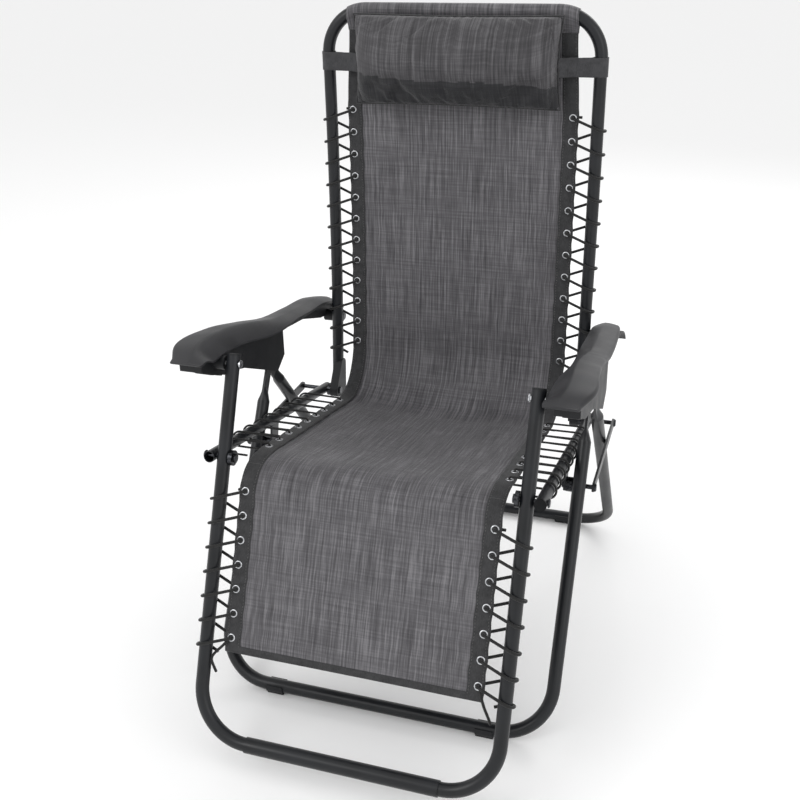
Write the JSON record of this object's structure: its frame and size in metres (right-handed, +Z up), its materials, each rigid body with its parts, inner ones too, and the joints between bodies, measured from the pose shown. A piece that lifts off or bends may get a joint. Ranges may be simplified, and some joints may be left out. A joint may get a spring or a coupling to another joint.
{
  "type": "zero gravity recliner",
  "caption": "Folding steel-tube lounge chair with a laced mesh sling, plastic armrests, swinging footrest and a sliding headrest pillow.",
  "frame": {"origin": "on the floor, under the middle of the chair's footprint box", "axes": "+Z up, the sitter faces -Y, +X is the side to the left hand of the sitter; the chair is symmetric about the plane X = 0"},
  "size_m": [0.6658, 0.9036, 1.1072],
  "materials": {
    "frame_black": "satin black powder coat",
    "plastic_black": "textured black moulding",
    "arm_plastic": "charcoal moulding with a low sheen",
    "zinc_steel": "zinc plated",
    "mesh_grey": "coarse grey and charcoal textilene weave",
    "elastic_black": "braided elastic cord",
    "pillow_dark": "dark textilene over soft filling",
    "band_dark": "woven elastic band"
  },
  "bodies": {
    "rear_legs": {"rear_leg_frame": "frame_black", "rear_foot_pads": "plastic_black"},
    "front_legs": {"front_leg_frame": "frame_black", "front_foot_pads": "plastic_black", "seat_pivot_lugs": "frame_black", "apex_bolts": "zinc_steel", "lock_blocks": "plastic_black"},
    "seat_link": {"seat_pivot_bushes": "zinc_steel"},
    "seat": {"seat_rail_left": "frame_black", "seat_rail_right": "frame_black", "seat_rail_caps": "plastic_black", "seat_hangers": "frame_black", "link_bar_left": "frame_black", "link_bar_right": "frame_black", "seat_pivot_bolts": "zinc_steel", "back_hinge_bolts": "zinc_steel", "footrest_hinge_bolts": "zinc_steel", "seat_sling": "mesh_grey", "seat_grommets": "zinc_steel", "seat_lace_left": "elastic_black", "seat_lace_right": "elastic_black"},
    "back_link": {"back_hinge_bushes": "zinc_steel"},
    "back": {"back_frame": "frame_black", "back_brackets": "plastic_black", "arm_ears": "frame_black", "back_sling": "mesh_grey", "back_grommets": "zinc_steel", "back_lace_left": "elastic_black", "back_lace_right": "elastic_black"},
    "arm_link": {"arm_hinge_bushes": "zinc_steel"},
    "armrests": {"armrest_left": "arm_plastic", "armrest_right": "arm_plastic", "arm_housing_left": "plastic_black", "arm_housing_right": "plastic_black", "lever_pins": "zinc_steel", "front_arm_bolts": "zinc_steel", "rear_arm_bolts": "zinc_steel"},
    "lever_left": {"lock_lever_left": "plastic_black"},
    "lever_right": {"lock_lever_right": "plastic_black"},
    "footrest_link": {"footrest_hinge_bushes": "zinc_steel"},
    "footrest": {"footrest_tube_left": "frame_black", "footrest_tube_right": "frame_black", "footrest_tube_caps": "plastic_black", "footrest_sleeve": "frame_black", "footrest_sling": "mesh_grey", "footrest_grommets": "zinc_steel", "footrest_lace_left": "elastic_black", "footrest_lace_right": "elastic_black"},
    "headrest": {"headrest_pillow": "pillow_dark", "headrest_straps": "band_dark"}
  },
  "joints": [
    {"name": "leg_fold", "type": "hinge", "parent": "rear_legs", "child": "front_legs", "pos_m": [0, 0.02335, 0.507], "axis": [1, 0, 0], "range_deg": [0, 47.5]},
    {"name": "seat_fold", "type": "hinge", "parent": "front_legs", "child": "seat_link", "pos_m": [0, -0.03495, 0.369], "axis": [-1, 0, 0], "range_deg": [0, 66]},
    {"name": "seat_tilt", "type": "hinge", "parent": "seat_link", "child": "seat", "pos_m": [0, -0.03495, 0.369], "axis": [-1, 0, 0], "range_deg": [0, 12]},
    {"name": "back_fold", "type": "hinge", "parent": "seat", "child": "back_link", "pos_m": [0, 0.21335, 0.37], "axis": [1, 0, 0], "range_deg": [0, 66.5]},
    {"name": "recline", "type": "hinge", "parent": "back_link", "child": "back", "pos_m": [0, 0.21335, 0.37], "axis": [-1, 0, 0], "range_deg": [0, 33.3]},
    {"name": "arm_tilt", "type": "hinge", "parent": "back", "child": "arm_link", "pos_m": [0, 0.27165, 0.508], "axis": [1, 0, 0], "range_deg": [0, 33.8]},
    {"name": "arm_fold", "type": "hinge", "parent": "arm_link", "child": "armrests", "pos_m": [0, 0.27165, 0.508], "axis": [-1, 0, 0], "range_deg": [0, 66.5]},
    {"name": "footrest_fold", "type": "hinge", "parent": "seat", "child": "footrest_link", "pos_m": [0, -0.26265, 0.463], "axis": [1, 0, 0], "range_deg": [0, 66.5]},
    {"name": "footrest_swing", "type": "hinge", "parent": "footrest_link", "child": "footrest", "pos_m": [0, -0.26265, 0.463], "axis": [-1, 0, 0], "range_deg": [0, 33.8]},
    {"name": "lever_squeeze_left", "type": "hinge", "parent": "armrests", "child": "lever_left", "pos_m": [0, -0.10965, 0.576], "axis": [-1, 0, 0], "range_deg": [0, 5], "stiffness_Nm_per_rad": 0.6, "springref_deg": -17.19},
    {"name": "lever_squeeze_right", "type": "hinge", "parent": "armrests", "child": "lever_right", "pos_m": [0, -0.10965, 0.576], "axis": [-1, 0, 0], "range_deg": [0, 5], "stiffness_Nm_per_rad": 0.6, "springref_deg": -17.19},
    {"name": "headrest_slide", "type": "slide", "parent": "back", "child": "headrest", "axis": [0, 0, 1], "range_m": [-0.05, 0]}
  ],
  "couplings": [
    {"joint": "leg_fold", "follows": "seat_fold", "ratio": 0.71212},
    {"joint": "back_fold", "follows": "seat_fold", "ratio": 1},
    {"joint": "arm_fold", "follows": "seat_fold", "ratio": 1},
    {"joint": "footrest_fold", "follows": "seat_fold", "ratio": 1},
    {"joint": "seat_tilt", "follows": "recline", "ratio": 0.35135},
    {"joint": "arm_tilt", "follows": "recline", "ratio": 1},
    {"joint": "footrest_swing", "follows": "recline", "ratio": 1}
  ]
}
